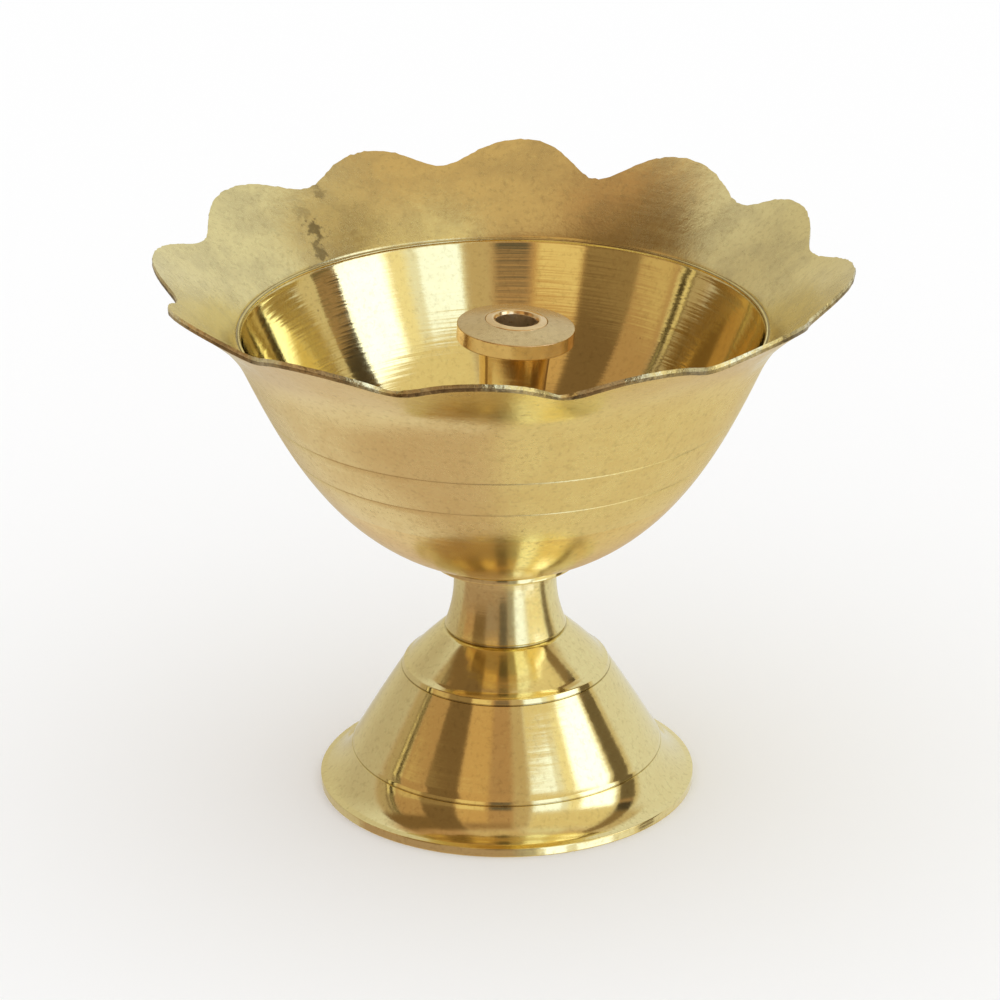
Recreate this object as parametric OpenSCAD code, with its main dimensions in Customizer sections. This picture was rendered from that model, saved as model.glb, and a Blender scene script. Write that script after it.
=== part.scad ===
// Brass oil lamp on a stand. A bell foot carries a scalloped bowl on a thin seat ring, and a
// wick holder screws down through the bowl's floor into the foot's neck and clamps the three.
// Origin: centre of the ring that the foot stands on. +Z is up the lamp's axis.

/* [Foot] */
// Radius of the foot where it stands
foot_r = 24.7; // [23:0.1:28]
// Height of the upright band round the foot's edge
band_h = 1; // [0.8:0.1:1.4]
// Height of the turned line near the foot's edge
low_line_z = 5.3; // [4.8:0.1:6]
// Height of the turned line near the top of the bell
high_line_z = 16.4; // [15:0.1:17]
// Height of the dark line where the bell ends and the neck starts
bell_top = 21.8; // [21:0.1:23]
// Thickness of the bell's metal
bell_wall = 1.8; // [1.4:0.1:2.4]
// Height of the neck's top face
neck_top = 31.5; // [30.5:0.1:33]
// Radius of the neck at its waist
waist_r = 6.85; // [6.4:0.05:7.4]

/* [Seat ring] */
// Outer radius of the ring between neck and bowl
ring_r = 9.7; // [9.3:0.1:10.5]
// Thickness of the ring
ring_h = 0.8; // [0.6:0.1:1.2]

/* [Bowl] */
// Radius of the flat under the bowl
seat_r = 9.2; // [8.6:0.1:9.3]
// Radius of the bowl's inner lip, where the cup meets the collar
lip_r = 34; // [32:0.1:36]
// Height of the inner lip above the bowl's underside
lip_h = 31.1; // [29:0.1:33]
// Thickness of the cup's wall and of its floor
bowl_wall = 1.4; // [1.1:0.1:1.8]
// Thickness of the floor round the hole
floor_t = 2.3; // [1.8:0.1:3]
// Thickness of the collar
collar_t = 1.1; // [0.8:0.1:1.5]
// How far the collar's blank reaches out past the lip, before the lobes are cut
collar_reach = 12.6; // [12.2:0.1:13.5]
// How far the collar's blank climbs above the lip
collar_rise = 10.7; // [9:0.1:12]
// Scale of the lobes: 1 for the full scallop, 0 for a plain round rim
lobe_depth = 1; // [0:0.05:1.1]

/* [Wick holder] */
// Radius of the hole that the wick stands in
wick_r = 2.73; // [2.3:0.01:2.9]
// Radius of the drip disc
disc_r = 7.6; // [6.6:0.1:8.6]
// Thickness of the drip disc at its edge
disc_h = 2; // [1.5:0.1:2.6]
// Height of the drip disc's upper edge above the bowl's underside
disc_z = 31.5; // [28:0.1:33]
// Lean of the stem out of true, towards +X
lean = 3.8; // [0:0.2:4.2]
// Number of holes that let oil in to the wick
feed_holes = 4; // [2:1:6]

/* [Thread] */
// Radius of the shank, a quarter-inch thread
shank_r = 3.15; // [3:0.05:3.2]
// Running clearance round the shank in the neck
thread_gap = 0.05; // [0.02:0.01:0.08]
// Length of the shank below the bowl's underside
shank_len = 12.3; // [9:0.1:12.5]

/* [Seal washer] */
// Radius of the washer under the wick holder
seal_r = 6.6; // [6.2:0.1:7.2]
// Thickness of the washer
seal_h = 0.8; // [0.5:0.1:1.2]

/* [Hidden] */
$fn = 96;

BRASS = [0.80, 0.66, 0.36];
PALE_BRASS = [0.78, 0.71, 0.47];
FIBRE = [0.36, 0.20, 0.12];

CURVE_STEPS = 16;                 // straight steps along each turned curve
RIM_STEPS = 24;                   // straight steps across each lobe

// Foot
line_w = 0.35;                    // width of a turned line
line_deep = 0.15;                 // depth of a turned line
low_line_r = foot_r - 4.3;
bell_top_r = 8.3;
neck_foot_r = 7.95;
neck_top_r = 6.95;
spigot_r = 4.9;                   // pilot that centres the seat ring
spigot_h = 0.6;
roof_z = bell_top - bell_wall - 1;
roof_r = 7.5;

// Bowl
bowl_z = neck_top + ring_h;
floor_z = bowl_z + floor_t;
lip_z = bowl_z + lip_h;
lip_bead = 0.4;
clear_hole_r = shank_r + 0.35;
bowl_line_z = [bowl_z + 16.8, bowl_z + 22.2];

// Lobes, hand cut with snips and file: where each notch and each tip falls, in degrees from
// +X, and the radius left there.
notch_at = [13, 40, 72, 101, 128, 159.5, 191, 222, 252, 281, 308, 336];
notch_r = [41.2, 41.7, 41.1, 42.6, 42.4, 41.7, 42.0, 42.0, 41.8, 41.6, 42.0, 42.3];
tip_at = [29, 57, 86, 114, 143, 176.5, 206, 237, 267, 294, 322, 351];
tip_r = [44.5, 45.4, 45.9, 45.6, 45.4, 44.9, 45.4, 45.3, 45.8, 45.3, 45.0, 45.1];
round_r = 42.8;                   // radius of the rim when lobe_depth is 0
tip_breadth = 0.07;               // how much of a half wave leans to the tip

// Wick holder, its heights taken from the bowl's underside
shoulder_z = floor_z + seal_h;
shoulder_r = 6.2;
shoulder_h = 2.5;
lean_z = shoulder_z + shoulder_h; // the stem leans about this height
stem_r = 4.85;
stem_waist = 3.5;                 // handle radius that draws the stem in
disc_top = bowl_z + disc_z - lean_z;
disc_bore_r = 4;
disc_crown = 0.75;                // rise of the disc's face from its edge to the stem
stem_crown = 0.22;                // the same slope carried on across the stem's end
wick_floor = 1;                   // solid metal under the wick hole
feed_z = 3;
feed_r = 1.2;
chamfer = 0.5;

// A point on the curve that leaves p[0] for p[1] and reaches p[3] from p[2]
function bend(p, t) =
    pow(1 - t, 3) * p[0] + 3 * pow(1 - t, 2) * t * p[1] + 3 * (1 - t) * t * t * p[2]
    + pow(t, 3) * p[3];

// The curve as a run of points
function curve(p, steps = CURVE_STEPS) = [for (i = [0:steps]) bend(p, i / steps)];

// A curve with one handle, for gentle hollows
function hollow(a, handle, b) = curve([a, a + (handle - a) * 2 / 3, b + (handle - b) * 2 / 3, b]);

function reversed(list) = [for (i = [len(list) - 1:-1:0]) list[i]];

// The same list without its first point
function past_first(list) = [for (i = [1:len(list) - 1]) list[i]];

// Radius at height z on a turned outline
function radius_at(z, outline) = lookup(z, [for (p = outline) [p[1], p[0]]]);

// A sharp turned line cut round an outline at height z
module turned_line(outline, z) {
    r = radius_at(z, outline);
    flare = line_w / (2 * line_deep);
    rotate_extrude()
        polygon([[r - line_deep, z], [r + 1, z - flare * (1 + line_deep)],
                 [r + 1, z + flare * (1 + line_deep)]]);
}

// The bell's outside and inside: nearly a straight cone from the low line to the high line, then
// a rounder shoulder in to the neck
high_line_r = foot_r - 11;
bell_out = concat(
    hollow([low_line_r, low_line_z], [foot_r - 7.45, 10.85], [high_line_r, high_line_z]),
    past_first(hollow([high_line_r, high_line_z], [foot_r - 13.8, 19.6], [bell_top_r, bell_top])));
bell_in = concat(
    hollow([low_line_r - bell_wall * 0.95, low_line_z - bell_wall * 0.35],
           [foot_r - 7.45 - bell_wall * 0.85, 10.85 - bell_wall * 0.5],
           [high_line_r - bell_wall * 0.8, high_line_z - bell_wall * 0.65]),
    past_first(hollow([high_line_r - bell_wall * 0.8, high_line_z - bell_wall * 0.65],
           [foot_r - 13.8 - bell_wall * 0.6, 19.6 - bell_wall], [roof_r, roof_z])));

// Cast and turned bell foot with its solid neck, bored right through for the wick holder
module foot() {
    skirt_top = [foot_r - 0.9, band_h + 0.25];
    color(BRASS)
    difference() {
        rotate_extrude()
            polygon(concat(
                [[0, 0], [foot_r - 0.2, 0], [foot_r, 0.2], [foot_r, band_h - 0.2], [foot_r - 0.2, band_h]],
                hollow(skirt_top, [foot_r - 3, 2.6], [low_line_r, low_line_z]),
                bell_out,
                [[neck_foot_r - 0.35, bell_top + 0.25]],
                hollow([neck_foot_r, bell_top + 0.5], [waist_r - 0.65, bell_top + 5], [neck_top_r, neck_top]),
                [[spigot_r, neck_top], [spigot_r, neck_top + spigot_h], [0, neck_top + spigot_h]]));
        rotate_extrude()
            polygon(concat(
                [[0, -1], [foot_r - bell_wall, -1], [foot_r - bell_wall, 0]],
                bell_in,
                [[0, roof_z]]));
        cylinder(r = shank_r + thread_gap, h = neck_top + 2);
        for (z = [low_line_z, high_line_z])
            turned_line(bell_out, z);
    }
}

// Thin turned ring pressed on the neck's pilot, which the bowl sits on
module seat_ring() {
    color(PALE_BRASS)
    translate([0, 0, neck_top])
    rotate_extrude()
        polygon([[spigot_r, 0], [ring_r - 0.15, 0], [ring_r, 0.15], [ring_r, ring_h - 0.15],
                 [ring_r - 0.15, ring_h], [spigot_r, ring_h]]);
}

// Handles of the cup's outside and inside, and of the collar's upper face
crease = [lip_r + 1, lip_z - 0.2];
cup_out = [[seat_r, bowl_z], [seat_r + 14.6, bowl_z + 4.8], [crease[0] - 5.3, crease[1] - 12], crease];
cup_in = [[seat_r - 0.7, floor_z],
          [seat_r + 14.6 - bowl_wall * 0.8, bowl_z + 4.8 + bowl_wall * 0.8],
          [crease[0] - 5.3 - bowl_wall * 0.95, crease[1] - 12 + bowl_wall * 0.25],
          [lip_r - lip_bead, lip_z - lip_bead - 0.1]];
collar_face = [[lip_r, lip_z], [lip_r + collar_reach * 0.445, lip_z + collar_rise * 0.58],
               [lip_r + collar_reach, lip_z + collar_rise]];
collar_drop = [collar_t * 0.6, -collar_t * 0.82];   // from the upper face to the under face

// Whole collar and cup as turned, before the rim is cut
module bowl_blank() {
    rotate_extrude()
        polygon(concat(
            [[0, bowl_z]],
            curve(cup_out),
            hollow(crease + [0.15, 0.15], collar_face[1] + collar_drop, collar_face[2] + collar_drop),
            reversed(hollow(collar_face[0], collar_face[1], collar_face[2])),
            [[lip_r - 0.25, lip_z - 0.1]],
            reversed(curve(cup_in)),
            [[0, floor_z]]));
}

// Radius of the cut rim: from notch to tip and back, in two half waves for each lobe. The tips
// are a little broader than the notches.
function rim_mix(r) = round_r + (r - round_r) * lobe_depth;
function ease(a, b, t) =
    let (broad = t + (a < b ? 1 : -1) * tip_breadth * sin(180 * t))
    a + (b - a) * (1 - cos(180 * broad)) / 2;
function lobe_points(i) =
    let (n = len(notch_at), last = i == n - 1,
         a0 = notch_at[i], a1 = tip_at[i], a2 = last ? notch_at[0] + 360 : notch_at[i + 1],
         r0 = notch_r[i], r1 = tip_r[i], r2 = last ? notch_r[0] : notch_r[i + 1],
         half = RIM_STEPS / 2)
    [for (k = [0:RIM_STEPS - 1])
        let (rise = k < half,
             t = rise ? k / half : k / half - 1,
             a = rise ? a0 + (a1 - a0) * t : a1 + (a2 - a1) * t,
             r = rim_mix(rise ? ease(r0, r1, t) : ease(r1, r2, t)))
        r * [cos(a), sin(a)]];

module scalloped_outline() {
    polygon([for (i = [0:len(notch_at) - 1]) each lobe_points(i)]);
}

// Cast bowl, turned inside and out, with its flared collar cut into lobes
module bowl() {
    color(PALE_BRASS)
    difference() {
        bowl_blank();
        translate([0, 0, lip_z])
            linear_extrude(collar_rise + 2)
                difference() {
                    circle(r = lip_r + collar_reach + 5);
                    scalloped_outline();
                }
        translate([0, 0, bowl_z - 1])
            cylinder(r = clear_hole_r, h = floor_t + 2);
        for (z = bowl_line_z)
            turned_line(curve(cup_out), z);
    }
}

// Fibre washer that keeps oil from running down the shank
module seal_washer() {
    color(FIBRE)
    translate([0, 0, floor_z])
    difference() {
        cylinder(r = seal_r, h = seal_h);
        translate([0, 0, -1])
            cylinder(r = clear_hole_r, h = seal_h + 2);
    }
}

// Puts the leaning upper part of the wick holder on top of its shoulder
module leaning() {
    translate([0, 0, lean_z])
        rotate([0, lean, 0])
            children();
}

// Wick stem: threaded shank, shoulder, waisted tube and the pilot that carries the disc
module wick_stem() {
    disc_under = disc_top - disc_h;
    mouth_z = disc_top + disc_crown + stem_crown;
    color(BRASS)
    difference() {
        union() {
            rotate_extrude()
                polygon([[0, bowl_z - shank_len], [shank_r - chamfer, bowl_z - shank_len],
                         [shank_r, bowl_z - shank_len + chamfer], [shank_r, shoulder_z],
                         [shoulder_r, shoulder_z], [shoulder_r, lean_z - chamfer],
                         [shoulder_r - chamfer, lean_z], [0, lean_z]]);
            leaning()
                rotate_extrude()
                    polygon(concat(
                        [[0, -1], [stem_r, -1]],
                        hollow([stem_r, 0], [stem_waist, disc_under * 0.58], [stem_r, disc_under]),
                        [[disc_bore_r, disc_under], [disc_bore_r, disc_top + disc_crown],
                         [wick_r + 0.2, mouth_z], [0, mouth_z]]));
        }
        leaning() {
            translate([0, 0, wick_floor])
                cylinder(r = wick_r, h = disc_top + 5);
            translate([0, 0, mouth_z - 0.2])
                cylinder(r1 = wick_r, r2 = wick_r + 0.5, h = 0.5);
            for (i = [0:feed_holes - 1])
                rotate([0, 90, 45 + i * 360 / feed_holes])
                    translate([-feed_z, 0, 0])
                        cylinder(r = feed_r, h = stem_r + 2, $fn = 32);
        }
    }
}

// Drip disc pressed on the stem's pilot, its face sloped so that oil runs off
module drip_disc() {
    color(PALE_BRASS)
    leaning()
    rotate_extrude()
        polygon([[disc_bore_r, disc_top - disc_h], [disc_r - 0.15, disc_top - disc_h],
                 [disc_r, disc_top - disc_h + 0.15], [disc_r, disc_top - 0.2],
                 [disc_r - 0.2, disc_top], [disc_bore_r, disc_top + disc_crown]]);
}

foot();
seat_ring();
bowl();
seal_washer();
wick_stem();
drip_disc();
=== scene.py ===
"""Brass oil lamp: a bell foot, a scalloped bowl on a thin seat ring, and a screwed wick holder.

Lengths in the outlines are in millimetres, as on a turner's drawing, and become metres when a
piece is made. The lamp's axis is Z, it stands on Z = 0, and its front faces -Y.
"""

import math

import bmesh
import bpy
from mathutils import Matrix, Vector, noise


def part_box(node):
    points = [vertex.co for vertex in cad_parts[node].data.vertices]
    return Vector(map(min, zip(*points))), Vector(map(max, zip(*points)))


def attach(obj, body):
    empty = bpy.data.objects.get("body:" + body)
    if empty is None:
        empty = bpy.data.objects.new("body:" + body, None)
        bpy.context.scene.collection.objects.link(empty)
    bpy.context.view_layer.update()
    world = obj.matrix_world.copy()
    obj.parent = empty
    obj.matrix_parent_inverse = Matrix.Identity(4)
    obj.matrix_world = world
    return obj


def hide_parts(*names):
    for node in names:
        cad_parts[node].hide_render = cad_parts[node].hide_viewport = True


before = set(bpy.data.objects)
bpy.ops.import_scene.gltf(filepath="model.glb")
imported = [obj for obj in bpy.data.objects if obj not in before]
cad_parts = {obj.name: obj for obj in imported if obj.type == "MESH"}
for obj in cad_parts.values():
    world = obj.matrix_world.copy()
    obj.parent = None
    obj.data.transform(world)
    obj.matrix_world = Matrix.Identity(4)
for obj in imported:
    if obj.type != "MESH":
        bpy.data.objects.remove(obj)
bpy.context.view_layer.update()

MM = 0.001
FULL_TURN = 2 * math.pi
SHARP_ANGLE = math.radians(32)     # edges that fold further than this stay crisp
MERGE_REACH = 1e-7                 # points closer than this become one


# ---------------------------------------------------------------- sizes taken from the frame


def node_span(node):
    """Lowest and highest Z of a CAD node, in millimetres."""
    low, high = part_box(node)
    return low.z / MM, high.z / MM


def node_radius(node):
    """Radius of a round CAD node, in millimetres."""
    low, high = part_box(node)
    return (high.y - low.y) / 2 / MM


foot_r = node_radius("foot")
ring_r = node_radius("seat_ring")
ring_low, ring_high = node_span("seat_ring")
seal_low, seal_high = node_span("seal_washer")
seal_r = node_radius("seal_washer")
shank_low = node_span("wick_stem")[0]

neck_top = ring_low
bowl_z = ring_high
floor_z = seal_low
shoulder_z = seal_high


# ---------------------------------------------------------------- outlines


def bend(a, b, c, d, steps):
    """Points on the curve that leaves a for b and reaches d from c."""
    points = []
    for i in range(steps + 1):
        t = i / steps
        weights = ((1 - t) ** 3, 3 * (1 - t) ** 2 * t, 3 * (1 - t) * t * t, t ** 3)
        points.append(sum((w * Vector(p) for w, p in zip(weights, (a, b, c, d))), Vector((0, 0))))
    return points


def hollow(a, handle, b, steps):
    """A curve from a to b with one handle."""
    a, handle, b = Vector(a), Vector(handle), Vector(b)
    return bend(a, a.lerp(handle, 2 / 3), b.lerp(handle, 2 / 3), b, steps)


def eased(points, reach, closed=False, steps=4):
    """A run of corners, each rounded a little; an open run keeps its two ends."""
    points = [Vector(p) for p in points]
    out = [] if closed else [points[0]]
    for i in range(len(points)) if closed else range(1, len(points) - 1):
        corner, after = points[i], points[(i + 1) % len(points)]
        start = corner + (points[i - 1] - corner).normalized() * reach
        end = corner + (after - corner).normalized() * reach
        out += hollow(start, corner, end, steps)
    return out if closed else out + [points[-1]]


def held(points, longest=0.3, reach=0.03):
    """Adds a point close to each end of every long straight run, so that it shades flat."""
    out = []
    for a, b in zip(points, points[1:]):
        out.append(a)
        if (b - a).length > longest:
            step = (b - a).normalized() * reach
            out += [a + step, b - step]
    return out + [points[-1]]


# Across a fine turned line: the place within its width, and the share of its depth
LINE_SECTION = ((-0.5, 0), (-0.36, 0.25), (-0.1, 1), (0.1, 1), (0.36, 0.25), (0.5, 0))


def scored(points, height, width, depth):
    """The same run with a fine turned line cut across it at a height."""
    out = []
    for a, b in zip(points, points[1:]):
        out.append(a)
        if (a.y - height) * (b.y - height) < 0:
            along = (b - a).normalized()
            inward = Vector((-along.y, along.x)) if along.y > 0 else Vector((along.y, -along.x))
            centre = a.lerp(b, (height - a.y) / (b.y - a.y))
            for reach, share in LINE_SECTION:
                out.append(centre + along * reach * width + inward * share * depth)
    out.append(points[-1])
    return out


# ---------------------------------------------------------------- making pieces


def turn(outline, steps, closed=True):
    """Spins an outline of (radius, height) round the axis, as a lathe does."""
    bm = bmesh.new()
    index = bm.verts.layers.int.new("outline_point")
    verts = [bm.verts.new((p.x * MM, 0, p.y * MM)) for p in outline]
    for i, v in enumerate(verts):
        v[index] = i
    ends = list(zip(verts, verts[1:])) + ([(verts[-1], verts[0])] if closed else [])
    edges = [bm.edges.new(pair) for pair in ends]
    bmesh.ops.spin(
        bm, geom=verts + edges, cent=(0, 0, 0), axis=(0, 0, 1), angle=FULL_TURN, steps=steps,
        use_merge=True,
    )
    bmesh.ops.remove_doubles(bm, verts=bm.verts, dist=MERGE_REACH)
    bmesh.ops.recalc_face_normals(bm, faces=bm.faces)
    return bm


def finish_piece(bm, name, body, node, materials, zone=None):
    """Makes the mesh a piece that rides on its body and stands for its CAD node."""
    for face in bm.faces:
        face.smooth = True
        if zone:
            face.material_index = zone(face)
    for edge in bm.edges:
        edge.smooth = len(edge.link_faces) == 2 and edge.calc_face_angle() < SHARP_ANGLE
    mesh = bpy.data.meshes.new(name)
    bm.to_mesh(mesh)
    bm.free()
    piece = bpy.data.objects.new(name, mesh)
    bpy.context.scene.collection.objects.link(piece)
    for material in materials:
        mesh.materials.append(material)
    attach(piece, body)
    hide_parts(node)


# ---------------------------------------------------------------- foot

low_line_z = 5.3
high_line_z = 16.4
high_line_r = foot_r - 11
bell_top = 21.8
bell_top_r = 8.3
mouth_r = 22.9                    # the open underside, at the table
bead_h = 1.35                     # the upright band round the foot's edge
bead_in = 0.75
neck_r = 6.95                     # where the seat ring sits
spigot_r = 4.9                    # the ring is pressed over it
spigot_h = 0.6
shank_bore_r = 3.2
bell_roof = 19                    # the hollow's top, round the bore
wall_at_high_line = 1.44
BELL_STEPS = 24
FOOT_STEPS = 420


def turned_band(points, height, width, slope):
    """Cuts a narrow flatter band into a run just above a height, with a fine groove below it."""
    start = next(i for i, p in enumerate(points) if p.y >= height)
    before, after = points[start - 1], points[start]
    here = before.lerp(after, (height - before.y) / (after.y - before.y))
    rise = width * math.cos(slope)
    upper = [p for p in points[start:] if p.y > here.y + rise + 0.3]
    low = here + Vector((0, 0.07))
    high = Vector((here.x - width * math.sin(slope), here.y + rise))
    band = [low.lerp(high, t) for t in (0, 0.12, 0.88, 1)] + [high.lerp(upper[0], 0.2)]
    groove = [here + Vector(p) for p in ((0.1, -0.16), (-0.06, -0.12), (-0.1, -0.03), (-0.02, 0.02))]
    return points[:start - 1] + groove + band + upper


def foot_outline():
    """The bell's outline: bead, skirt, cone, shoulder and neck outside, then the hollow inside."""
    low_line = Vector((foot_r - 4.3, low_line_z))
    high_line = Vector((high_line_r, high_line_z))
    bead_top = (foot_r - bead_in, bead_h)
    skirt = hollow(bead_top, (foot_r - 3, 2.6), low_line, BELL_STEPS)
    cone = hollow(low_line, (foot_r - 7.45, 10.85), high_line, BELL_STEPS)
    shoulder = hollow(high_line, (foot_r - 13.8, 19.6), (bell_top_r, bell_top), BELL_STEPS)
    side = turned_band(skirt + cone[1:] + shoulder[1:], low_line_z, 0.45, math.radians(22))
    side = turned_band(side, high_line_z, 0.7, math.radians(24))
    bead = eased([(mouth_r, 0), (foot_r - 0.02, 0.02), (foot_r, 1.2), bead_top], 0.12, steps=6)
    groove = [Vector((r, bell_top + rise)) for r, rise in (
        (8.12, 0.04), (7.76, 0.12), (7.72, 0.24), (7.9, 0.36))]
    neck = hollow((7.95, bell_top + 0.5), (6.2, bell_top + 5), (neck_r, neck_top), 28)
    spigot_top = neck_top + spigot_h
    top = eased([(neck_r, neck_top), (spigot_r, neck_top), (spigot_r, spigot_top),
                 (shank_bore_r, spigot_top)], 0.08)
    under_line = (high_line_r - wall_at_high_line, 15.2)
    inside = hollow((7.5, bell_roof), (foot_r - 14.7, 17.95), under_line, 12)
    inside += hollow(under_line, (foot_r - 8.95, 10), (18.7, 4.7), 12)[1:]
    return (held(bead)[:-1] + side + groove + neck[:-1] + top
            + [Vector((shank_bore_r, bell_roof))] + inside + [Vector((foot_r - 1.85, 0.5))])


def neck_zone(face):
    """0 on the bell, 1 above it."""
    return 1 if min(v.co.z for v in face.verts) > (bell_top + 0.02) * MM else 0


# ---------------------------------------------------------------- bowl

lip_r = 34
lip_z = bowl_z + 31.1
seat_face_r = 9.2                 # flat where the bowl stands on its ring
floor_r = 8.5
shank_hole_r = 3.5
cup_lines = (bowl_z + 16.8, bowl_z + 22.2)
line_w = 0.4
line_depth = 0.09
collar_reach = 12.6
collar_rise = 10.7
collar_t = 0.78
crease = Vector((lip_r + 1, lip_z - 0.2))
collar_handle = Vector((lip_r + collar_reach * 0.445, lip_z + collar_rise * 0.58))
collar_end = Vector((lip_r + collar_reach, lip_z + collar_rise))
collar_drop = Vector((collar_t * 0.6, -collar_t * 0.82))
COLLAR_STEPS = 22
CUP_STEPS = 34
EDGE_STEPS = 6
BOWL_STEPS = 540

polished_h = 12.5                 # the bowl's bottom is polished up to here
OUTSIDE, CUT_EDGE, COLLAR, CUP, NICKED_EDGE, BOTTOM = range(6)

# Lobes cut by hand: where each notch and each tip falls, in degrees from +X, and its radius
LOBES = 12
notch_at = [13, 40, 72, 101, 128, 159.5, 191, 222, 252, 281, 308, 336]
notch_r = [41.2, 41.7, 41.1, 42.6, 42.4, 41.7, 42.0, 42.0, 41.8, 41.6, 42.0, 42.3]
tip_at = [29, 57, 86, 114, 143, 176.5, 206, 237, 267, 294, 322, 351]
tip_r = [44.5, 45.4, 45.9, 45.6, 45.4, 44.9, 45.4, 45.3, 45.8, 45.3, 45.0, 45.1]
tip_breadth = 0.07                # a tip is a little broader than a notch
snips_at = (250.5, 279.5)
snip_reach = 0.75
snip_breadth = 2.2                # degrees


def rim_radius(degrees):
    """Radius of the cut rim at an angle: from notch to tip and back in half waves."""
    degrees = (degrees - notch_at[0]) % 360 + notch_at[0]
    stops = [s for i in range(LOBES) for s in ((notch_at[i], notch_r[i]), (tip_at[i], tip_r[i]))]
    stops.append((notch_at[0] + 360, notch_r[0]))
    for (a, r_a), (b, r_b) in zip(stops, stops[1:]):
        if a <= degrees <= b:
            t = (degrees - a) / (b - a)
            t += (tip_breadth if r_a < r_b else -tip_breadth) * math.sin(math.pi * t)
            return r_a + (r_b - r_a) * (1 - math.cos(math.pi * t)) / 2
    return notch_r[0]


def collar_run(rim, drop, start):
    """The collar's face from the lip or the crease out to the cut rim."""
    whole = hollow(start, collar_handle + drop, collar_end + drop, 60)
    cut = []
    for i in range(COLLAR_STEPS + 1):
        r = start.x + (rim - start.x) * i / COLLAR_STEPS
        for a, b in zip(whole, whole[1:]):
            if a.x <= r <= b.x:
                cut.append(a.lerp(b, (r - a.x) / (b.x - a.x)))
                break
    return cut


def snip_depth(degrees):
    """How far the snips bruised the upper edge back at the two deepest front notches."""
    away = [(degrees - at + 180) % 360 - 180 for at in snips_at]
    return sum(snip_reach * math.exp(-(a / snip_breadth) ** 2) for a in away)


def wander(*place):
    """A smooth unevenness from -1 to 1, the same at the same place."""
    return noise.noise(Vector(place))


def bowl_outline(rim, degrees=0.0):
    """Outline at one angle, and the zone of each point: outside, cut edge, collar or cup."""
    cup_out = bend((seat_face_r, bowl_z), (23.8, bowl_z + 4.8), crease - Vector((5.3, 12)), crease,
                   CUP_STEPS)
    for height in cup_lines:
        cup_out = scored(cup_out, height, line_w, line_depth)
    cup_in = bend((floor_r, floor_z), (22.68, bowl_z + 5.92), (crease.x - 6.63, crease.y - 11.65),
                  (lip_r - 0.5, lip_z - 0.6), CUP_STEPS)
    nick = 0.16 * wander(degrees * 1.1, 3, 0) + 0.1 * wander(degrees * 3.7, 9, 0)
    under = collar_run(rim - 0.17 + 0.6 * nick, collar_drop, crease + Vector((0.15, 0.15)))
    face = collar_run(rim - 0.2 + nick - snip_depth(degrees), Vector((0, 0)),
                      Vector((lip_r + 0.3, lip_z + 0.32)))
    blend = hollow(cup_out[-4], crease, under[6], 9)
    cup_out, under = cup_out[:-4] + blend[:4], blend[4:] + under[7:]
    low, high = under[-1], face[-1]
    edge = hollow(low, low.lerp(high, 0.5) + Vector((0.1, 0.02)), high, EDGE_STEPS)[1:-1]
    edge = [p + Vector((0.05 * wander(degrees * 2.3, i * 0.9, 5), 0)) for i, p in enumerate(edge)]
    lip = [Vector((lip_r + r, lip_z + z)) for r, z in (
        (0.24, 0.24), (0.14, 0.02), (0.04, -0.02), (-0.06, 0.1), (-0.2, 0.12), (-0.32, 0.02),
        (-0.38, -0.14), (-0.36, -0.3), (-0.44, -0.42))]
    floor = eased([(floor_r, floor_z), (shank_hole_r, floor_z), (shank_hole_r, bowl_z),
                   (seat_face_r, bowl_z)], 0.08)[1:-1]
    runs = (cup_out + under, edge, face[::-1] + lip, cup_in[::-1] + floor)
    zones = [z for z, run in enumerate(runs) for _ in run]
    return [p for run in runs for p in run], zones


def make_bowl(materials):
    blank, zones = bowl_outline(45)
    bm = turn(blank, BOWL_STEPS)
    index = bm.verts.layers.int["outline_point"]
    shapes = {}
    for v in bm.verts:
        angle = math.atan2(v.co.y, v.co.x)
        step = round(angle / FULL_TURN * BOWL_STEPS) % BOWL_STEPS
        if step not in shapes:
            degrees = 360 * step / BOWL_STEPS
            shapes[step] = bowl_outline(rim_radius(degrees), degrees)[0]
        p = shapes[step][v[index]]
        v.co = Vector((p.x * math.cos(angle), p.x * math.sin(angle), p.y)) * MM
    edge_first, face_first = zones.index(CUT_EDGE), zones.index(COLLAR)

    def zone(face):
        points = [v[index] for v in face.verts]
        if edge_first - 1 <= min(points) and max(points) <= face_first:
            return NICKED_EDGE if min(points) >= face_first - 3 else CUT_EDGE
        low_down = max(v.co.z for v in face.verts) < (bowl_z + polished_h) * MM
        if low_down and max(points) < 2 * CUP_STEPS:
            return BOTTOM
        closes_outline = max(points) - min(points) > 8
        return OUTSIDE if closes_outline else zones[max(points)]

    finish_piece(bm, "scalloped_bowl", "bowl", "bowl", materials, zone)


# ---------------------------------------------------------------- wick holder

shoulder_h = 2.5
shoulder_r = 6.2
lean_z = shoulder_z + shoulder_h
lean = math.radians(3.8)
disc_top = bowl_z + 31.5 - lean_z
disc_h = 2
disc_r = 7.6
disc_crown = 0.75
stem_crown = 0.22
stem_end_r = 4.85
stem_waist_r = 3.5
stem_root = 0.8                   # the stem reaches this far into its shoulder
pilot_r = 4
press_gap = 0.03                  # between the disc and the stem it is pressed on
wick_r = 2.73
wick_hole_floor = 1
shank_r = 3.15
shank_chamfer = 0.5
STEM_STEPS = 240
DISC_STEPS = 300


def lean_over(bm):
    """Tilts the stem's upper part about the top of its shoulder."""
    tilt = Matrix.Translation((0, 0, lean_z * MM)) @ Matrix.Rotation(lean, 4, "Y")
    bmesh.ops.transform(bm, matrix=tilt, verts=bm.verts)


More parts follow.
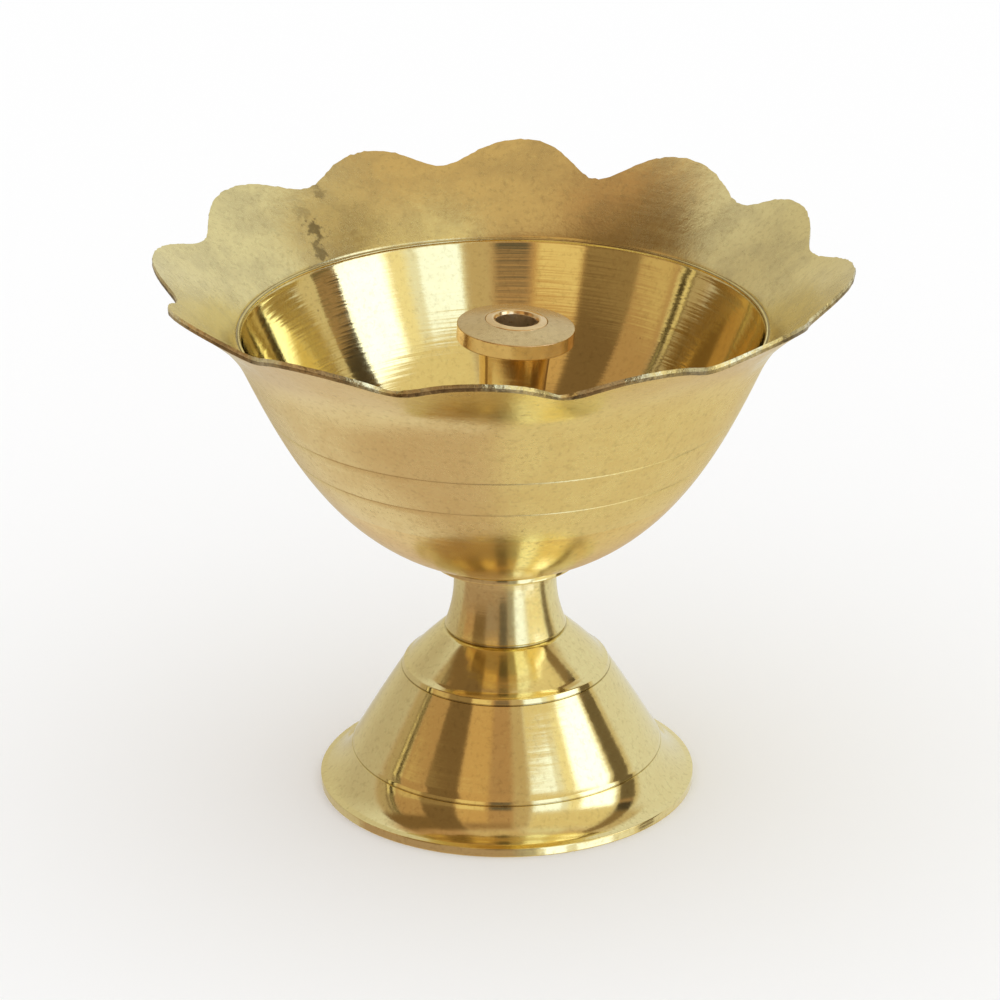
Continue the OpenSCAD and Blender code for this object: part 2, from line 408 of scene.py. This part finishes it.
def stem_outline():
    """The stem's outline above its shoulder: the waist, the end for the disc, the wick hole."""
    under = disc_top - disc_h
    crown = disc_top + disc_crown
    mouth = crown + stem_crown
    outside = hollow((stem_end_r, 0), (stem_waist_r, under * 0.58), (stem_end_r, under), 24)
    pilot = [(pilot_r, under), (pilot_r, crown - 0.05), (pilot_r - 0.12, crown + 0.04),
             (wick_r + 0.42, mouth - 0.04), (wick_r + 0.2, mouth - 0.1), (wick_r, mouth - 0.5)]
    hole_end = Vector((wick_r, wick_hole_floor))
    end = eased([outside[-1]] + pilot + [hole_end], 0.06)[1:-1]
    return outside + end + [hole_end, Vector((0, wick_hole_floor))]


def shank_outline():
    """The threaded shank as a plain rod, with the round shoulder on top."""
    return [Vector((0, shank_low))] + eased(
        [(0, shank_low), (shank_r - shank_chamfer, shank_low), (shank_r, shank_low + shank_chamfer),
         (shank_r, shoulder_z), (shoulder_r, shoulder_z), (shoulder_r, lean_z - 0.5),
         (shoulder_r - 0.5, lean_z), (0, lean_z)], 0.1)[1:]


def make_stem(materials):
    root = [Vector((0, -stem_root)), Vector((stem_end_r, -stem_root))]
    stem = turn(root + stem_outline(), STEM_STEPS, closed=False)
    lean_over(stem)
    shank = turn(shank_outline(), STEM_STEPS, closed=False)
    mesh = bpy.data.meshes.new("shank")
    shank.to_mesh(mesh)
    shank.free()
    stem.from_mesh(mesh)
    upright = Matrix.Rotation(-lean, 4, "Y") @ Matrix.Translation((0, 0, -lean_z * MM))

    def zone(face):
        centre = upright @ face.calc_center_median()
        in_hole = centre.z > 0 and math.hypot(centre.x, centre.y) < (wick_r + 0.05) * MM
        # The wick hole takes the second material, the bore brass whose pale colour is painted light
        return 1 if in_hole else 0

    finish_piece(stem, "wick_tube", "wick_holder", "wick_stem", materials, zone)


def make_disc(materials):
    hole_r = pilot_r + press_gap
    section = eased([(hole_r, disc_top - disc_h), (disc_r, disc_top - disc_h), (disc_r, disc_top),
                     (hole_r, disc_top + disc_crown)], 0.14, closed=True)
    bm = turn(held(section + section[:1])[:-1], DISC_STEPS)
    lean_over(bm)

    # The side takes the second material, whose pinker colour is painted reflection
    def zone(face):
        on_the_side = abs(face.normal.z) < 0.5
        return 1 if on_the_side else 0

    finish_piece(bm, "disc_on_stem", "wick_holder", "drip_disc", materials, zone)


# ---------------------------------------------------------------- materials

FRESH_BRASS = (0.91, 0.80, 0.42)
AGED_BRASS = (0.84, 0.69, 0.33)
PIT = (0.12, 0.07, 0.03)
STAIN = (0.22, 0.18, 0.10)
# Painted shade, darkening the grooves and the lip's crease:
GROOVE_SHADE = (0.10, 0.06, 0.03)

# Sizes of the noise in the brass, as waves in a metre: the more, the finer
CLOUDS = 130.0
CLOUD_EDGES = 420.0
PIT_PATCHES = 190.0
PITS = 230.0
WAVES = 900.0
STAIN_EDGES = 1300.0
SPECKLE = 1500.0
FLECKS = 2100.0
GRAIN = 3200.0


class Nodes:
    """A node tree with short ways to add and wire nodes."""

    def __init__(self, tree):
        self.tree = tree

    def add(self, kind, **values):
        node = self.tree.nodes.new(kind)
        for name, value in values.items():
            setattr(node, name, value)
        return node

    def wire(self, value, socket):
        if isinstance(value, bpy.types.NodeSocket):
            self.tree.links.new(value, socket)
        else:
            socket.default_value = value

    def maths(self, operation, *values):
        node = self.add("ShaderNodeMath", operation=operation)
        for value, socket in zip(values, node.inputs):
            self.wire(value, socket)
        return node.outputs[0]

    def step(self, value, low, high, to_low=0.0, to_high=1.0):
        """Goes smoothly from to_low to to_high as the value goes from low to high."""
        node = self.add("ShaderNodeMapRange", interpolation_type="SMOOTHSTEP")
        for item, socket in zip((value, low, high, to_low, to_high), node.inputs):
            self.wire(item, socket)
        return node.outputs[0]

    def mix(self, share, a, b):
        """Colour a, with a share of colour b over it."""
        node = self.add("ShaderNodeMix", data_type="RGBA")
        self.wire(share, node.inputs["Factor"])
        for colour, socket in ((a, node.inputs[6]), (b, node.inputs[7])):
            self.wire(colour if isinstance(colour, bpy.types.NodeSocket) else (*colour, 1), socket)
        return node.outputs[2]

    def swing(self, value, reach):
        """Turns a value from 0 to 1 into one that swings round nought."""
        return self.maths("MULTIPLY", self.maths("SUBTRACT", value, 0.5), reach)

    def length(self, x, y):
        squares = [self.maths("MULTIPLY", side, side) for side in (x, y)]
        return self.maths("SQRT", self.maths("ADD", *squares))

    def noise(self, vector, scale, detail=2.0, roughness=0.5):
        node = self.add("ShaderNodeTexNoise")
        self.wire(vector, node.inputs["Vector"])
        self.wire(scale, node.inputs["Scale"])
        self.wire(detail, node.inputs["Detail"])
        self.wire(roughness, node.inputs["Roughness"])
        return node.outputs["Fac"]

    def vector(self, x, y, z):
        node = self.add("ShaderNodeCombineXYZ")
        for value, socket in zip((x, y, z), node.inputs):
            self.wire(value, socket)
        return node.outputs[0]


def brass(name, roughness, stretch=0.0, ridge_pitch=0.4, ridge_rise=0.004, rise_share=0.6,
          grain_rise=0.0, fresh=FRESH_BRASS, aged=AGED_BRASS, stain=0.3, mottle=0.3, spread=0.05,
          pits=0.0, groove_shade=(), shine=(), stains=()):
    """Turned brass. Pitches and rises are in millimetres.

    The turning marks follow the height by rise_share, and the radius by the rest. stain is the
    strength of the tarnish, mottle that of the specks, pits that of the small holes, and spread is
    how far the roughness varies. stretch draws the shine out across the turning marks. Each grime
    entry paints shade into a groove: the groove's height, its half width, and how dark the painted
    shade is. Each shine entry is a run of heights and what it adds to the roughness at each end.
    Each stains entry is its place seen from above, its reach, and how dark it is.
    """
    material = bpy.data.materials.new(name)
    material.use_nodes = True
    tree = material.node_tree
    n = Nodes(tree)
    shader = tree.nodes["Principled BSDF"]
    shader.inputs["Metallic"].default_value = 1.0
    shader.inputs["Anisotropic"].default_value = stretch
    place = n.add("ShaderNodeTexCoord").outputs["Object"]
    parts = n.add("ShaderNodeSeparateXYZ")
    n.wire(place, parts.inputs[0])
    x, y, z = parts.outputs

    # Turning marks run round the axis, and repeat along the run of the outline
    r = n.length(x, y)
    run = n.maths("ADD", n.maths("MULTIPLY", z, rise_share), n.maths("MULTIPLY", r, 1 - rise_share))
    ring, fine_ring = [
        n.vector(n.maths("MULTIPLY", x, around), n.maths("MULTIPLY", y, around),
                 n.maths("MULTIPLY", run, along / ridge_pitch))
        for around, along in ((60, 1000), (200, 3400))]
    ridges = n.noise(ring, 1.0, 1.5, 0.6)
    hairlines = n.noise(fine_ring, 1.0, 1.0)
    clouds = n.noise(place, CLOUDS, 3.0, 0.6)
    speckle = n.noise(place, SPECKLE, 2.0, 0.6)

    # Colour: tarnish in clouds, dark specks, bright flecks, pits, stains, painted shade in the grooves
    tarnish = n.step(n.maths("ADD", clouds, n.swing(n.noise(place, CLOUD_EDGES, 3.0), 0.5)), 0.38, 0.68)
    colour = n.mix(n.maths("MULTIPLY", tarnish, stain), fresh, aged)
    colour = n.mix(n.step(speckle, 0.48, 0.78, 0.0, mottle), colour, [c * 0.6 for c in aged])
    flecks = n.step(n.noise(place, FLECKS, 2.0), 0.5, 0.75, 0.0, mottle * 0.7)
    colour = n.mix(flecks, colour, [min(1, c * 1.25) for c in fresh])
    if pits:
        cells = n.add("ShaderNodeTexVoronoi", feature="F1")
        n.wire(place, cells.inputs["Vector"])
        n.wire(PITS, cells.inputs["Scale"])
        spot = n.step(cells.outputs["Distance"], 0.02, 0.065, 1.0, 0.0)
        chosen = n.step(n.noise(place, PIT_PATCHES), 0.6, 0.63)
        pit = n.maths("MULTIPLY", spot, chosen)
        colour = n.mix(n.maths("MULTIPLY", pit, pits), colour, PIT)
    for stain_x, stain_y, reach, share in stains:
        reach *= MM
        away = n.length(n.maths("SUBTRACT", x, stain_x * MM), n.maths("SUBTRACT", y, stain_y * MM))
        away = n.maths("ADD", away, n.swing(n.noise(place, STAIN_EDGES, 3.0), reach * 2.6))
        colour = n.mix(n.step(away, 0.3 * reach, reach, share, 0.0), colour, STAIN)
    # Painted shade along each groove: the colour darkens towards the groove's height
    for groove_z, reach, share in groove_shade:
        reach *= MM
        away = n.maths("ABSOLUTE", n.maths("SUBTRACT", z, groove_z * MM))
        colour = n.mix(n.step(away, 0.5 * reach, reach, share, 0.0), colour, GROOVE_SHADE)
    n.wire(colour, shader.inputs["Base Color"])

    rough = n.maths("ADD", n.swing(clouds, spread * 4), roughness)
    rough = n.maths("ADD", rough, n.swing(speckle, spread * 3))
    rough = n.maths("ADD", rough, n.swing(ridges, spread * 2))
    for low, high, at_low, at_high in shine:
        rough = n.maths("ADD", rough, n.step(z, low * MM, high * MM, at_low, at_high))
    rough = n.maths("MAXIMUM", rough, 0.03)
    n.wire(rough, shader.inputs["Roughness"])

    height = n.maths("ADD", n.maths("MULTIPLY", ridges, ridge_rise),
                     n.maths("MULTIPLY", hairlines, ridge_rise * 0.16))
    if grain_rise:
        grain = n.noise(place, GRAIN, 2.0, 0.7)
        height = n.maths("ADD", height, n.maths("MULTIPLY", grain, grain_rise))
        waves = n.noise(place, WAVES, 2.0)
        height = n.maths("ADD", height, n.maths("MULTIPLY", waves, grain_rise * 1.5))
    bump = n.add("ShaderNodeBump")
    n.wire(1.0, bump.inputs["Strength"])
    n.wire(MM, bump.inputs["Distance"])
    n.wire(height, bump.inputs["Height"])
    n.wire(bump.outputs[0], shader.inputs["Normal"])
    if stretch:
        tangent = n.add("ShaderNodeTangent", direction_type="RADIAL", axis="Z")
        n.wire(tangent.outputs[0], shader.inputs["Tangent"])
        shader.inputs["Anisotropic Rotation"].default_value = 0.25
    return material


def pressed_fibre():
    material = bpy.data.materials.new("pressed_fibre")
    material.use_nodes = True
    n = Nodes(material.node_tree)
    shader = material.node_tree.nodes["Principled BSDF"]
    shader.inputs["Roughness"].default_value = 0.85
    place = n.add("ShaderNodeTexCoord").outputs["Object"]
    fibres = n.noise(place, 1400.0, 4.0, 0.7)
    colour = n.mix(n.step(fibres, 0.35, 0.7), (0.20, 0.09, 0.045), (0.34, 0.18, 0.10))
    n.wire(colour, shader.inputs["Base Color"])
    bump = n.add("ShaderNodeBump")
    n.wire(0.05 * MM, bump.inputs["Distance"])
    n.wire(fibres, bump.inputs["Height"])
    n.wire(bump.outputs[0], shader.inputs["Normal"])
    return material


# The grooves of the foot and neck, and the collar's lip crease, get painted shade
polished_foot = brass("polished_foot", 0.1, stretch=0.6, ridge_pitch=0.42, ridge_rise=0.014,
                      rise_share=0.7, grain_rise=0.0016, stain=0.25, mottle=0.35, spread=0.03,
                      groove_shade=((low_line_z - 0.08, 0.08, 0.4), (high_line_z - 0.08, 0.09, 0.5)))
turned_neck = brass("turned_neck", 0.19, stretch=0.5, ridge_pitch=0.5, ridge_rise=0.016,
                    rise_share=1.0, grain_rise=0.003, stain=0.45, mottle=0.35,
                    groove_shade=((bell_top + 0.18, 0.16, 0.35),))
turned_cup = brass("turned_cup", 0.09, stretch=0.6, ridge_pitch=0.38, ridge_rise=0.016,
                   grain_rise=0.0012, stain=0.25, spread=0.025, pits=0.6)
dull_collar = brass("dull_collar", 0.23, ridge_pitch=0.6, ridge_rise=0.008, rise_share=0.3,
                    grain_rise=0.011, aged=(0.70, 0.61, 0.34), stain=0.65, spread=0.06,
                    groove_shade=((lip_z + 0.02, 0.08, 0.5),),
                    stains=((-24.4, 33.4, 1.1, 0.45), (-26.6, 29.6, 1.6, 0.3),
                            (-24.9, 27.9, 1.5, 0.8), (-24.3, 25.6, 1.2, 0.7)))
satin_outside = brass("satin_outside", 0.3, ridge_pitch=0.5, ridge_rise=0.005, grain_rise=0.010,
                      stain=0.45, mottle=0.35, spread=0.06, pits=0.3,
                      shine=((bowl_z + 12, bowl_z + 17, -0.1, 0.0), (lip_z - 3, lip_z + 1, 0.0, -0.1)))
polished_bottom = brass("polished_bottom", 0.2, stretch=0.5, ridge_rise=0.012,
                        fresh=(0.92, 0.76, 0.36), aged=(0.80, 0.60, 0.26), stain=0.5, mottle=0.4,
                        spread=0.04)
cut_edge = brass("cut_edge", 0.3, ridge_pitch=0.5, ridge_rise=0.0, grain_rise=0.05,
                 fresh=(0.50, 0.40, 0.20), aged=(0.20, 0.15, 0.08), stain=0.9, mottle=0.9,
                 spread=0.1)
nicked_edge = brass("nicked_edge", 0.2, ridge_pitch=0.5, ridge_rise=0.0, grain_rise=0.06,
                    fresh=(0.95, 0.85, 0.50), aged=(0.55, 0.45, 0.22), stain=0.8, mottle=0.6,
                    spread=0.1)
dull_disc = brass("dull_disc", 0.3, ridge_pitch=0.35, ridge_rise=0.006, rise_share=0.0,
                  grain_rise=0.009, fresh=(0.74, 0.58, 0.31), aged=(0.62, 0.46, 0.22), stain=0.5,
                  mottle=0.4)
# The disc's side gets a pinker, lighter brass than its top: painted reflection; its smoother turned
# finish is its own
side_turned_painted_reflection = brass("side_turned_painted_reflection", 0.2, stretch=0.3, ridge_pitch=0.35, ridge_rise=0.006,
                    rise_share=1.0, grain_rise=0.004, fresh=(0.90, 0.66, 0.40),
                    aged=(0.74, 0.50, 0.28), stain=0.5, mottle=0.4)
amber_stem = brass("amber_stem", 0.14, stretch=0.4, ridge_pitch=0.5, ridge_rise=0.008,
                   rise_share=0.95, fresh=(0.90, 0.68, 0.38), aged=(0.78, 0.56, 0.30), stain=0.4,
                   spread=0.04)
# The bore gets a paler brass than the rest: painted light for the bright inside of the wick hole; its
# rougher drilled finish is its own
bore_drilled_painted_light = brass("bore_drilled_painted_light", 0.3, ridge_pitch=0.3, ridge_rise=0.01, rise_share=1.0,
                     fresh=(0.97, 0.86, 0.68), aged=(0.88, 0.72, 0.52), stain=0.5)
fibre = pressed_fibre()


# ---------------------------------------------------------------- the six pieces

RING_STEPS = 360
WASHER_STEPS = 96

finish_piece(turn(foot_outline(), FOOT_STEPS), "bell_foot", "stand", "foot",
             [polished_foot, turned_neck], neck_zone)
ring = eased([(spigot_r, ring_low), (ring_r, ring_low), (ring_r, ring_high), (spigot_r, ring_high)],
             0.2, closed=True)
finish_piece(turn(ring, RING_STEPS), "ring_under_bowl", "stand", "seat_ring", [polished_foot])
make_bowl([satin_outside, cut_edge, dull_collar, turned_cup, nicked_edge, polished_bottom])
washer = eased([(shank_hole_r, seal_low), (seal_r, seal_low), (seal_r, seal_high),
                (shank_hole_r, seal_high)], 0.15, closed=True)
finish_piece(turn(washer, WASHER_STEPS), "fibre_washer", "seal", "seal_washer", [fibre])
make_stem([amber_stem, bore_drilled_painted_light])
make_disc([dull_disc, side_turned_painted_reflection])

# ---------------------------------------------------------------- floor

TABLE_SIZE = 30
TABLE_WHITE = (0.94, 0.94, 0.94, 1)

bpy.ops.mesh.primitive_plane_add(size=TABLE_SIZE)
floor = bpy.context.object
floor.name = "floor"
pale = bpy.data.materials.new("pale_table")
pale.use_nodes = True
n = Nodes(pale.node_tree)
floor_shader = pale.node_tree.nodes["Principled BSDF"]
floor_shader.inputs["Roughness"].default_value = 0.9
floor_shader.inputs["Specular IOR Level"].default_value = 0.0
floor_shader.inputs["Base Color"].default_value = TABLE_WHITE
unmirrored = n.add("ShaderNodeMixShader")
n.wire(n.add("ShaderNodeLightPath").outputs["Is Glossy Ray"], unmirrored.inputs[0])
n.wire(floor_shader.outputs[0], unmirrored.inputs[1])
n.wire(n.add("ShaderNodeBsdfTransparent").outputs[0], unmirrored.inputs[2])
n.wire(unmirrored.outputs[0], pale.node_tree.nodes["Material Output"].inputs[0])
floor.data.materials.append(pale)

# ---------------------------------------------------------------- studio round the lamp

DAYLIGHT = (1.06, 1.06, 1.06)      # what falls on the lamp and the table
SWEEP = (0.75, 0.74, 0.68)

# What the polished brass mirrors, over SWEEP. Each panel: degrees round from the front (right is
# positive), its soft edge, degrees up, its soft edge, and its light. A later one covers an
# earlier one.
PANELS = [
    (-220, 220, 1, -100, -30, 6, (0.60, 0.46, 0.33)),
    (-165, -8, 12, -100, -28, 6, (0.57, 0.42, 0.31)),
    (-165, -105, 18, -100, -28, 6, (0.74, 0.64, 0.54)),
    (-4, 165, 8, -100, -30, 6, (0.72, 0.61, 0.41)),
    (-170, -98, 14, -32, 40, 16, (0.52, 0.46, 0.37)),
    (-178, -140, 14, -14, 50, 10, (0.62, 0.57, 0.45)),
    (-220, 220, 1, 60, 100, 7, (0.61, 0.45, 0.27)),
    (-118, -45, 12, 52, 74, 6, (0.46, 0.28, 0.16)),
    (18, 62, 10, 57, 69, 5, (0.75, 0.70, 0.52)),
    (-104, 10, 6, -20, 62, 5, (0.46, 0.28, 0.15)),
    (-104, 10, 6, -34, -10, 6, (0.40, 0.28, 0.20)),
    (-104, -88, 3, -10, 48, 8, (0.45, 0.35, 0.22)),
    (-95.8, -94.4, 0.6, 4, 50, 4, (0.14, 0.10, 0.05)),
    (-92.2, -88.8, 0.7, 4, 50, 4, (0.05, 0.035, 0.015)),
    (-91.0, -90.0, 0.4, 20, 50, 1.5, (0.42, 0.34, 0.18)),
    (-94.6, -92.2, 0.8, 4, 20, 2, (0.80, 0.66, 0.36)),
    (-88.8, -86.4, 0.8, 4, 20, 2, (0.85, 0.74, 0.42)),
    (-87, -66, 3, 10, 45, 5, (0.45, 0.28, 0.14)),
    (-108, -39, 1.0, 42, 61, 4, (0.20, 0.12, 0.055)),
    (-66, -39, 1.0, -10, 61, 5, (0.19, 0.115, 0.055)),
    (-39, -15, 3, 10, 60, 5, (0.59, 0.37, 0.17)),
    (-40, -14, 4, -14, 12, 4, (0.34, 0.25, 0.19)),
    (-39, 6, 4, 50, 61, 5, (0.34, 0.21, 0.11)),
    (-38, -17, 2, 20, 30, 1.5, (0.80, 0.62, 0.32)),
    (-66, -39, 2, 12, 27, 3, (0.30, 0.20, 0.10)),
    (-84, -66, 3, 8, 22, 3, (0.60, 0.44, 0.22)),
    (-13, 4, 2.5, -20, 29, 5, (0.12, 0.10, 0.08)),
    (5, 19, 4, 10, 60, 5, (0.54, 0.41, 0.25)),
    (5, 19, 4, -30, 15, 5, (0.36, 0.34, 0.30)),
    (19, 88, 2, -34, 60, 4, (0.76, 0.64, 0.39)),
    (19, 86, 1.5, -30, 34, 2.0, (0.88, 0.89, 0.86)),
    (20, 40, 1.0, -26, 34, 1.5, (1.15, 1.3, 1.6)),
    (23, 37, 1.0, -31, -25, 1.0, (1.4, 1.55, 1.9)),
    (44, 69, 1.0, -31, -25, 1.0, (1.4, 1.55, 1.9)),
    (46, 84, 3.0, -26, 34, 1.5, (0.95, 0.86, 0.58)),
    (56, 84, 3.5, 12, 33, 3.0, (1.75, 1.9, 2.2)),
    (86, 106, 3, -20, 40, 6, (0.62, 0.52, 0.34)),
    (86, 118, 3, 40, 62, 6, (0.55, 0.44, 0.28)),
]

# A dark upright card at the lamp's right, seen only in the brass. Each band: from and to which
# height one light turns into the next.
CARD_PLACE = (0.264, 0.0095, 0.22)
CARD_WIDTH = 0.062
CARD_HEIGHT = 0.7
CARD_LOWEST = (0.16, 0.12, 0.07)
CARD_BANDS = [
    (0.125, 0.145, (0.34, 0.22, 0.12)),
    (0.155, 0.163, (0.06, 0.045, 0.03)),
    (0.20, 0.24, (0.24, 0.16, 0.08)),
]

card = bmesh.new()
bmesh.ops.create_grid(card, x_segments=1, y_segments=1, size=0.5)
bmesh.ops.rotate(card, cent=(0, 0, 0), matrix=Matrix.Rotation(math.pi / 2, 3, "Y"), verts=card.verts)
card_shape = Matrix.Translation(CARD_PLACE) @ Matrix.Diagonal((1, CARD_WIDTH, CARD_HEIGHT, 1))
bmesh.ops.transform(card, matrix=card_shape, verts=card.verts)
card_mesh = bpy.data.meshes.new("dark_card")
card.to_mesh(card_mesh)
card.free()
dark_card = bpy.data.objects.new("dark_card", card_mesh)
bpy.context.scene.collection.objects.link(dark_card)
card_black = bpy.data.materials.new("card_black")
card_black.use_nodes = True
n = Nodes(card_black.node_tree)
glow = n.add("ShaderNodeEmission")
parts = n.add("ShaderNodeSeparateXYZ")
n.wire(n.add("ShaderNodeTexCoord").outputs["Object"], parts.inputs[0])
shade = CARD_LOWEST
for low, high, light in CARD_BANDS:
    shade = n.mix(n.step(parts.outputs[2], low, high), shade, light)
n.wire(shade, glow.inputs["Color"])
n.wire(glow.outputs[0], card_black.node_tree.nodes["Material Output"].inputs[0])
card_black.cycles.emission_sampling = "NONE"
card_mesh.materials.append(card_black)
dark_card.visible_camera = False
dark_card.visible_diffuse = False
dark_card.visible_shadow = False

world = bpy.data.worlds.new("studio")
world.use_nodes = True
bpy.context.scene.world = world
n = Nodes(world.node_tree)
parts = n.add("ShaderNodeSeparateXYZ")
n.wire(n.add("ShaderNodeTexCoord").outputs["Generated"], parts.inputs[0])
x, y, z = parts.outputs
to_degrees = 180 / math.pi
round_from_front = n.maths("MULTIPLY", n.maths("ARCTAN2", x, n.maths("MULTIPLY", y, -1.0)), to_degrees)
up = n.maths("MULTIPLY", n.maths("ARCSINE", z), to_degrees)
colour = SWEEP
for west, east, edge, low, high, fade, light in PANELS:
    across = n.maths("MULTIPLY", n.step(round_from_front, west - edge, west + edge),
                     n.step(round_from_front, east - edge, east + edge, 1.0, 0.0))
    upright = n.maths("MULTIPLY", n.step(up, low - fade, low + fade),
                      n.step(up, high - fade, high + fade, 1.0, 0.0))
    colour = n.mix(n.maths("MULTIPLY", across, upright), colour, light)
mirrored = n.add("ShaderNodeLightPath").outputs["Is Glossy Ray"]
background = world.node_tree.nodes["Background"]
n.wire(n.mix(mirrored, DAYLIGHT, colour), background.inputs["Color"])
world.cycles.sampling_method = "NONE"

# ---------------------------------------------------------------- camera

LENS = 180.155
FAR_END = 40
CAMERA_PLACE = (0, -0.6, 0.29022)
LOOK_DOWN = 22.68                 # degrees
TURN_LEFT = 0.0545
ROLL = -0.55

camera_data = bpy.data.cameras.new("camera")
camera_data.lens = LENS
camera_data.clip_end = FAR_END
camera = bpy.data.objects.new("camera", camera_data)
bpy.context.scene.collection.objects.link(camera)
camera.matrix_world = (
    Matrix.Translation(CAMERA_PLACE)
    @ Matrix.Rotation(math.radians(TURN_LEFT), 4, "Z")
    @ Matrix.Rotation(math.radians(90 - LOOK_DOWN), 4, "X")
    @ Matrix.Rotation(math.radians(ROLL), 4, "Z")
)
bpy.context.scene.camera = camera
bpy.context.scene.view_settings.view_transform = "Standard"
